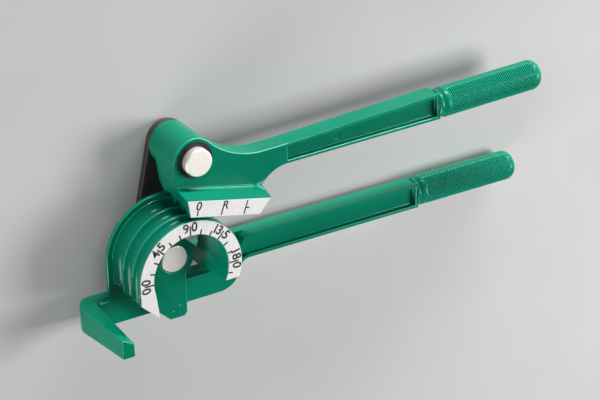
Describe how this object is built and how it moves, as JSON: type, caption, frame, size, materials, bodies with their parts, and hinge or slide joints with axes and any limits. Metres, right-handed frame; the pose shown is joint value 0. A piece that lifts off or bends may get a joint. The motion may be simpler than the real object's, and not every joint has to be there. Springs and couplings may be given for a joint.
{
  "type": "tube bender",
  "caption": "Hand lever tube bender with a grooved round die, a hook for the tube and a forming handle that rolls round the die on a link.",
  "frame": {"origin": "on the axis of the die pin, at the back face of the link, where the tool lies on the bench", "axes": "+X along the fixed handle towards its grip, +Y across the die towards the forming handle, +Z along the pins, away from the bench"},
  "size_m": [0.2708, 0.0976, 0.0492],
  "materials": {
    "enamel": "gloss",
    "link_steel": "satin",
    "pin_steel": "satin",
    "black_steel": "satin",
    "label": "matte"
  },
  "bodies": {
    "base": {"die_body": "enamel", "angle_scale": "label"},
    "link": {"link_plate": "link_steel", "die_pin": "pin_steel", "handle_pin": "pin_steel", "die_pin_washer": "black_steel", "handle_pin_washer": "black_steel"},
    "lever": {"forming_handle": "enamel", "shoe_scale": "label"}
  },
  "joints": [
    {"name": "link_swing", "type": "hinge", "parent": "base", "child": "link", "pos_m": [0, 0, 0.002], "axis": [0, 0, 1], "range_deg": [-66, 102]},
    {"name": "handle_pivot", "type": "hinge", "parent": "link", "child": "lever", "pos_m": [0.01164, 0.05252, 0.002], "axis": [0, 0, 1], "range_deg": [-8, 65]}
  ]
}
